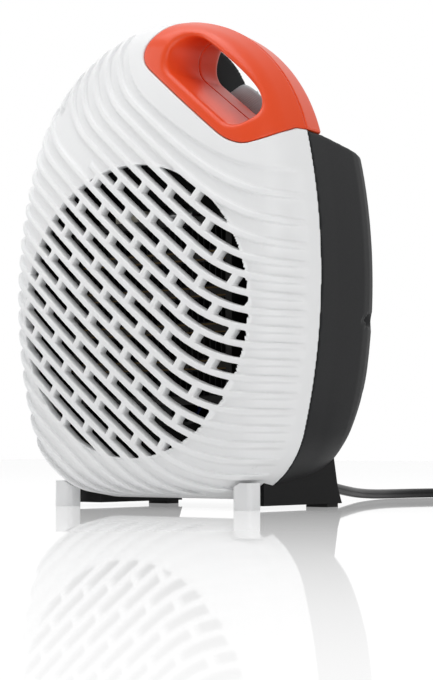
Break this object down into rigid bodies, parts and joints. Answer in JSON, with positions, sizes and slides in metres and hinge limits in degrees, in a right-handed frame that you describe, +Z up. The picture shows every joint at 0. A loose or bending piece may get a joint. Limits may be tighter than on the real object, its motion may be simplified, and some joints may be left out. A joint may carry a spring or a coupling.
{
  "type": "ceramic fan heater",
  "caption": "Upright arched ceramic fan heater with a slanted through handle, round ribbed outlet, two rear dials, wedge feet and a mains cord with plug.",
  "frame": {"origin": "centre of the object's footprint box on the floor, measured without the free cord, its coil and its plug", "axes": "+Z up, +Y to the back, +X to the right of a viewer facing the outlet"},
  "size_m": [0.2778, 0.353, 0.2625],
  "materials": {
    "white_shell": "satin white moulding",
    "orange_handle": "satin orange moulding",
    "dark_shell": "fine-grained dark grey moulding",
    "black_plastic": "black moulding",
    "dial_grey": "light grey, finely knurled rim",
    "duct_grey": "dark grey moulding",
    "rubber_pad": "soft grip pad",
    "steel": "plated steel",
    "aluminium": "pressed fin strip",
    "brass": "brass",
    "ceramic": "fired ceramic stone",
    "phenolic": "heat-proof black resin",
    "control_white": "ivory resin",
    "winding": "enamelled copper",
    "lamp_red": "red lens",
    "wire_brown": "insulated wire",
    "wire_blue": "insulated wire",
    "cord_black": "round flexible cord",
    "plug_black": "moulded plug",
    "chrome_pin": "plated pins"
  },
  "bodies": {
    "housing": {"front_shell": "white_shell", "outlet_duct": "duct_grey", "handle_front": "orange_handle", "handle_rear": "orange_handle", "rear_shell": "dark_shell", "shell_screws": "steel", "foot_front_left": "white_shell", "foot_front_right": "white_shell", "stand_left": "black_plastic", "stand_right": "black_plastic", "pad_left": "rubber_pad", "pad_right": "rubber_pad", "heater_frame": "phenolic", "heater_fins": "aluminium", "ceramic_plates": "ceramic", "electrodes": "brass", "heater_tabs": "brass", "thermal_cutout": "control_white", "thermal_fuse": "steel", "fan_shroud": "duct_grey", "motor_stator": "winding", "motor_can": "steel", "motor_bearings": "brass", "motor_bracket": "steel", "thermostat_body": "control_white", "mode_switch": "control_white", "lamp_lens": "lamp_red", "terminal_block": "control_white", "terminal_screws": "steel", "wire_heater": "wire_brown", "wire_motor": "wire_blue", "wire_switch": "wire_brown", "cord_clamp": "black_plastic", "strain_relief": "cord_black", "cord": "cord_black", "cord_coil": "cord_black", "cord_tail": "cord_black", "plug_body": "plug_black", "plug_pins": "chrome_pin"},
    "fan_rotor": {"impeller": "black_plastic", "motor_shaft": "steel", "motor_rotor": "steel"},
    "thermostat_control": {"thermostat_dial": "dial_grey", "thermostat_spindle": "steel"},
    "mode_control": {"mode_dial": "dial_grey", "mode_spindle": "steel"}
  },
  "joints": [
    {"name": "fan_spin", "type": "hinge", "parent": "housing", "child": "fan_rotor", "pos_m": [0, 0.004, 0.1035], "axis": [0, 1, 0], "continuous": true},
    {"name": "thermostat_turn", "type": "hinge", "parent": "housing", "child": "thermostat_control", "pos_m": [0.01767, 0.01893, 0.20904], "axis": [-0.4838, -0.6293, -0.6082], "range_deg": [0, 270]},
    {"name": "mode_turn", "type": "hinge", "parent": "housing", "child": "mode_control", "pos_m": [0.046, 0.01893, 0.18651], "axis": [-0.4838, -0.6293, -0.6082], "range_deg": [0, 180]}
  ]
}
